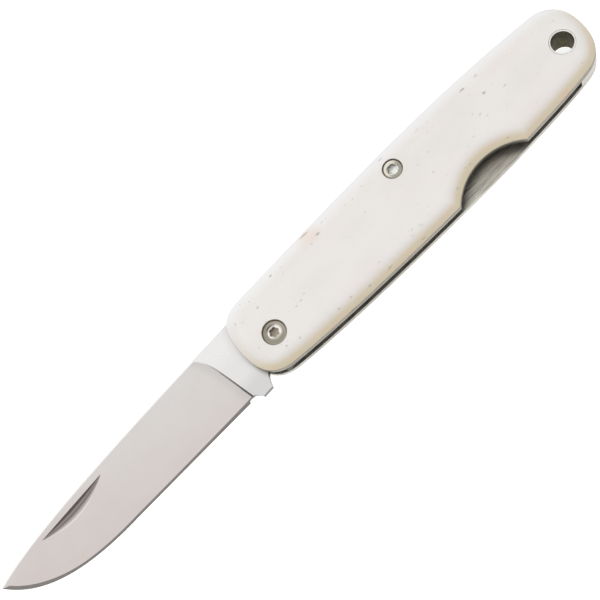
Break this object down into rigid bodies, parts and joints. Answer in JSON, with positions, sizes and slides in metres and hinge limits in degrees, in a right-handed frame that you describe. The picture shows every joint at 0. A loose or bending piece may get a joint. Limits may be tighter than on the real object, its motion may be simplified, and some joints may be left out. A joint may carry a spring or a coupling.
{
  "type": "folding pocket knife",
  "caption": "Slip-joint folding knife with a drop-point blade, smooth pale bone scales on steel liners, an easy-open notch, screw construction and a lanyard tube",
  "frame": {"origin": "Centre of the bounding box of the open knife in X and Y, on its lowest face in Z. The knife lies on its rear scale.", "axes": "+X along the handle from the blade's tip to the butt, +Y from the cutting edge to the spine, +Z out of the front face, parallel to the pivot."},
  "size_m": [0.162, 0.0202, 0.0079],
  "materials": {
    "blade_steel": "fine satin grind along the blade, the tang polished brighter",
    "liner_steel": "sheet steel, brushed along its length",
    "spring_steel": "satin, ground flush with the liners",
    "fastener_steel": "turned and polished, darker in its sockets",
    "washer_bronze": "thin rolled sheet",
    "bone": "smooth polished natural bone, off-white, with small dark pores and a tan cast at its slot edge"
  },
  "bodies": {
    "handle": {"front_scale": "bone", "rear_scale": "bone", "front_liner": "liner_steel", "rear_liner": "liner_steel", "backspring": "spring_steel", "pivot_barrel": "fastener_steel", "pivot_screw": "fastener_steel", "middle_barrel": "fastener_steel", "middle_screw": "fastener_steel", "lanyard_tube": "fastener_steel", "front_washer": "washer_bronze", "rear_washer": "washer_bronze"},
    "blade": {"blade": "blade_steel"}
  },
  "joints": [
    {"name": "blade_pivot", "type": "hinge", "parent": "handle", "child": "blade", "pos_m": [-0.00568, -0.00146, 0.00395], "axis": [0, 0, 1], "range_deg": [0, 177], "deforming": ["backspring"]}
  ]
}
